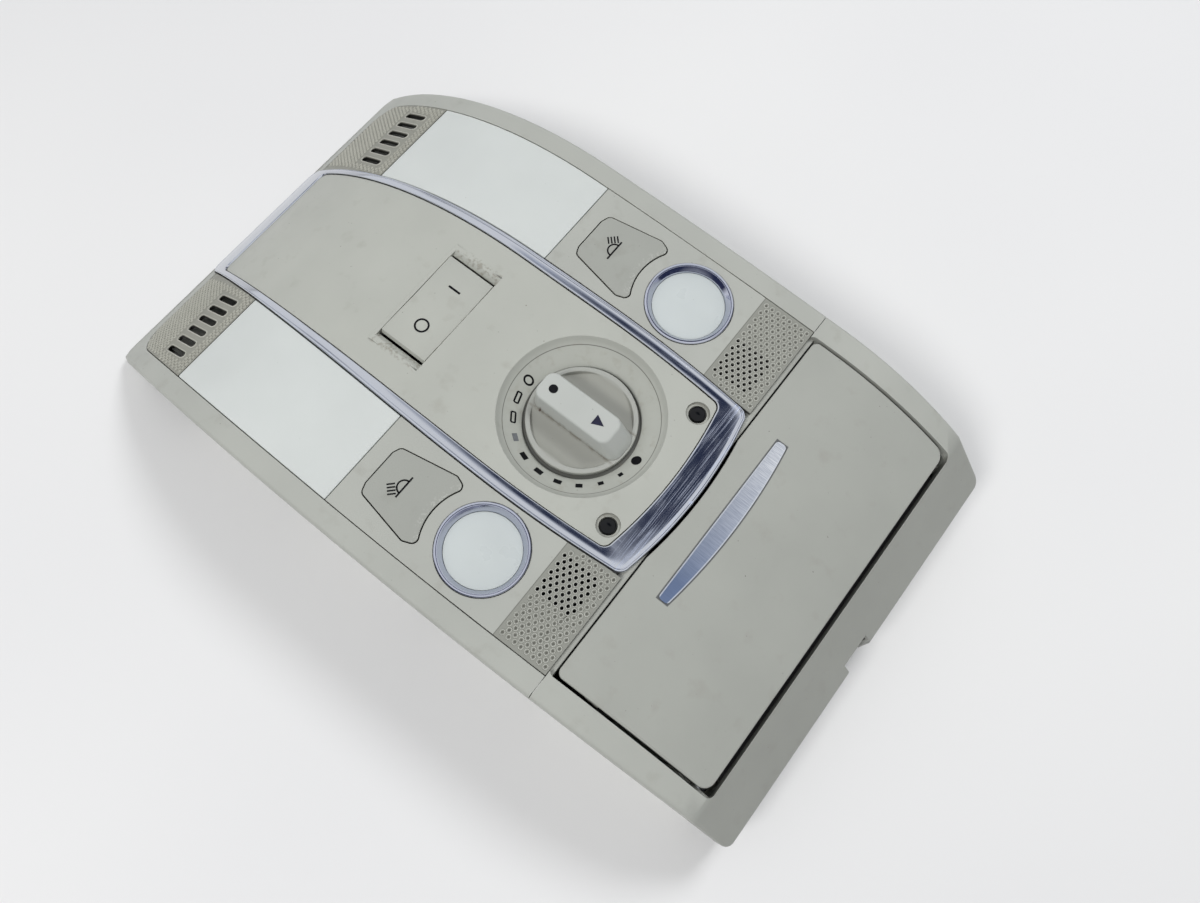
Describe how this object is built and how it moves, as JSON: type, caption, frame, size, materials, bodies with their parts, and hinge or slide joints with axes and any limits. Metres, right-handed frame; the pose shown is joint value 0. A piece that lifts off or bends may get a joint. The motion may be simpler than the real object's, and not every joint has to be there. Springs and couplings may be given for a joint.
{
  "type": "car dome light",
  "caption": "Overhead console with dome and reading lights behind milky lenses, a rotary roof knob, a rocker switch, vent slots and a hinged glasses box.",
  "frame": {"origin": "centre of the footprint, on the surface that the console lies on, face up", "axes": "+Z out of the visible face, -X the end with the vent slots, +X the hinge end of the glasses box"},
  "size_m": [0.358, 0.2042, 0.0722],
  "materials": {
    "cover_plastic": "fine grained warm light grey",
    "grained_plastic": "textured light grey",
    "chrome_trim": "polished, lightly scratched",
    "milk_lens": "milky translucent",
    "white_plastic": "moulded white",
    "bulb_glass": "clear",
    "spring_steel": "bright",
    "dark_plastic": "black",
    "board": "green lacquer",
    "foam": "black",
    "felt": "short felt",
    "brushed_aluminium": "brushed"
  },
  "bodies": {
    "console": {"light_frame": "cover_plastic", "box_frame": "cover_plastic", "chrome_frame": "chrome_trim", "centre_panel": "cover_plastic", "vent_panel_left": "grained_plastic", "vent_panel_right": "grained_plastic", "dome_lens_left": "milk_lens", "dome_lens_right": "milk_lens", "switch_panel_left": "cover_plastic", "switch_panel_right": "cover_plastic", "reading_ring_left": "chrome_trim", "reading_ring_right": "chrome_trim", "reading_lens_left": "milk_lens", "reading_lens_right": "milk_lens", "reading_reflector_left": "white_plastic", "reading_reflector_right": "white_plastic", "reading_bulb_left": "bulb_glass", "reading_bulb_right": "bulb_glass", "dome_reflector_left": "white_plastic", "dome_reflector_right": "white_plastic", "dome_bulb_left": "bulb_glass", "dome_bulb_right": "bulb_glass", "bulb_contacts": "spring_steel", "sensor_left": "dark_plastic", "sensor_right": "dark_plastic", "light_housing": "white_plastic", "circuit_board": "board", "rotary_switch": "dark_plastic", "rocker_case": "dark_plastic", "button_switches": "dark_plastic", "connector": "dark_plastic", "microphones": "dark_plastic", "box_housing": "white_plastic", "gap_seal": "foam", "latch_case": "dark_plastic", "damper_case": "dark_plastic", "board_screws": "spring_steel", "housing_screws": "spring_steel", "box_screws": "spring_steel", "spring_clips": "spring_steel", "lid_bumpers": "foam", "hinge_pins": "spring_steel"},
    "rocker": {"rocker": "cover_plastic"},
    "selector": {"knob_plunger": "white_plastic"},
    "knob": {"knob": "cover_plastic", "knob_shaft": "spring_steel"},
    "button_left": {"reading_button_left": "cover_plastic"},
    "button_right": {"reading_button_right": "cover_plastic"},
    "lid": {"glasses_lid": "cover_plastic", "lid_strip": "brushed_aluminium", "glasses_tray": "grained_plastic", "tray_liner": "felt"},
    "damper": {"damper_gear": "white_plastic"},
    "latch": {"latch_plunger": "white_plastic"}
  },
  "joints": [
    {"name": "rocker_tilt", "type": "hinge", "parent": "console", "child": "rocker", "pos_m": [-0.0498, 0, 0.0572], "axis": [1, 0, 0], "range_deg": [-6, 6]},
    {"name": "knob_press", "type": "slide", "parent": "console", "child": "selector", "axis": [0, 0, -1], "range_m": [0, 0.0012], "stiffness_N_per_m": 800, "springref_m": -0.004},
    {"name": "knob_turn", "type": "hinge", "parent": "selector", "child": "knob", "pos_m": [0.0283, 0, 0.06], "axis": [0, 0, 1], "range_deg": [0, 180]},
    {"name": "button_left_press", "type": "slide", "parent": "console", "child": "button_left", "axis": [0, 0, -1], "range_m": [0, 0.0012], "stiffness_N_per_m": 500, "springref_m": -0.003},
    {"name": "button_right_press", "type": "slide", "parent": "console", "child": "button_right", "axis": [0, 0, -1], "range_m": [0, 0.0012], "stiffness_N_per_m": 500, "springref_m": -0.003},
    {"name": "lid_hinge", "type": "hinge", "parent": "console", "child": "lid", "pos_m": [0.153, 0, 0.0483], "axis": [0, 1, 0], "range_deg": [0, 60]},
    {"name": "damper_spin", "type": "hinge", "parent": "console", "child": "damper", "pos_m": [0.12575, 0.082, 0.03838], "axis": [0, 1, 0], "range_deg": [-290, 0]},
    {"name": "latch_press", "type": "slide", "parent": "console", "child": "latch", "axis": [0, 0, -1], "range_m": [0, 0.003], "stiffness_N_per_m": 300, "springref_m": -0.005}
  ],
  "couplings": [
    {"joint": "damper_spin", "follows": "lid_hinge", "ratio": -4.8}
  ]
}
